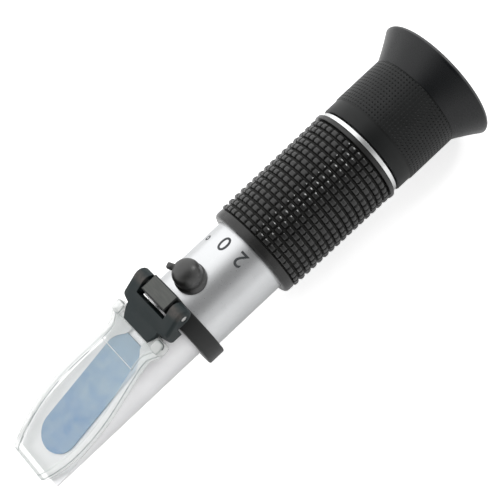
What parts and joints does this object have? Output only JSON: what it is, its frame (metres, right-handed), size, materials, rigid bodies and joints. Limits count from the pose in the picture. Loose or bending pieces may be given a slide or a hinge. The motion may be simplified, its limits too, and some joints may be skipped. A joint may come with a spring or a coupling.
{
  "type": "handheld refractometer",
  "caption": "Handheld refractometer: slanted prism nose with hinged daylight plate, capped calibration screw, studded rubber grip, focusing barrel and flared eyecup.",
  "frame": {"origin": "on the table plane, under the middle of the overall length", "axes": "+X along the optical axis from the nose to the eyepiece, +Z towards the daylight plate's side"},
  "size_m": [0.157, 0.04, 0.04],
  "materials": {
    "satin_metal": "satin silver-white",
    "prism_glass": "polished blue-tinted optical glass",
    "lens_glass": "polished lens glass",
    "clear_acrylic": "clear plate with frosted middle",
    "slate_plastic": "satin moulded slate black",
    "black_metal": "satin black anodised",
    "barrel_black": "satin black with fine square knurl",
    "grip_rubber": "studded black rubber",
    "black_rubber": "smooth black rubber",
    "eyecup_rubber": "soft smooth black rubber",
    "brass": "turned brass",
    "steel": "plain steel"
  },
  "bodies": {
    "root": {"nose_housing": "satin_metal", "main_prism": "prism_glass", "prism_bedding": "black_rubber", "nose_seal": "black_rubber", "main_tube": "satin_metal", "hinge_collar": "black_metal", "collar_screw": "steel", "calibration_bush": "brass", "strip_block": "black_metal", "block_screw": "steel", "return_spring": "steel", "light_baffle": "black_metal", "reticle_holder": "black_metal", "reticle": "lens_glass", "reticle_ring": "black_metal", "rear_fitting": "satin_metal", "focus_key": "steel", "rubber_grip": "grip_rubber"},
    "plate": {"hinge_bracket": "slate_plastic", "daylight_plate": "clear_acrylic", "hinge_pin": "steel"},
    "objective": {"lens_carrier": "black_metal", "objective_lens": "lens_glass", "objective_ring": "black_metal", "bimetal_strip": "brass", "strip_screws": "steel"},
    "calibration_screw": {"calibration_screw": "brass"},
    "calibration_cap": {"calibration_cap": "black_rubber"},
    "eyepiece": {"lens_cell": "black_metal", "field_lens": "lens_glass", "lens_spacer": "black_metal", "eye_lens": "lens_glass", "lens_lock_ring": "black_metal"},
    "focus_ring": {"focusing_barrel": "barrel_black", "thrust_ring": "black_metal", "eyecup": "eyecup_rubber"}
  },
  "joints": [
    {"name": "plate_hinge", "type": "hinge", "parent": "root", "child": "plate", "pos_m": [-0.0214, 0, 0.0362], "axis": [0, 1, 0], "range_deg": [0, 115]},
    {"name": "cap_lift", "type": "slide", "parent": "root", "child": "calibration_cap", "axis": [0, 0, 1], "range_m": [0, 0.012]},
    {"name": "objective_shift", "type": "slide", "parent": "root", "child": "objective", "axis": [0, 0, 1], "range_m": [-0.00025, 0.00025]},
    {"name": "calibration_turn", "type": "hinge", "parent": "objective", "child": "calibration_screw", "pos_m": [-0.0123, 0, 0.032], "axis": [0, 0, 1], "range_deg": [-180, 180]},
    {"name": "focus_slide", "type": "slide", "parent": "root", "child": "eyepiece", "axis": [1, 0, 0], "range_m": [0, 0.003]},
    {"name": "focus_turn", "type": "hinge", "parent": "eyepiece", "child": "focus_ring", "pos_m": [0.06, 0, 0.02], "axis": [1, 0, 0], "range_deg": [0, 270]}
  ],
  "couplings": [
    {"joint": "calibration_turn", "follows": "objective_shift", "rad_per_m": 12560},
    {"joint": "focus_slide", "follows": "focus_turn", "m_per_rad": 0.000636}
  ]
}
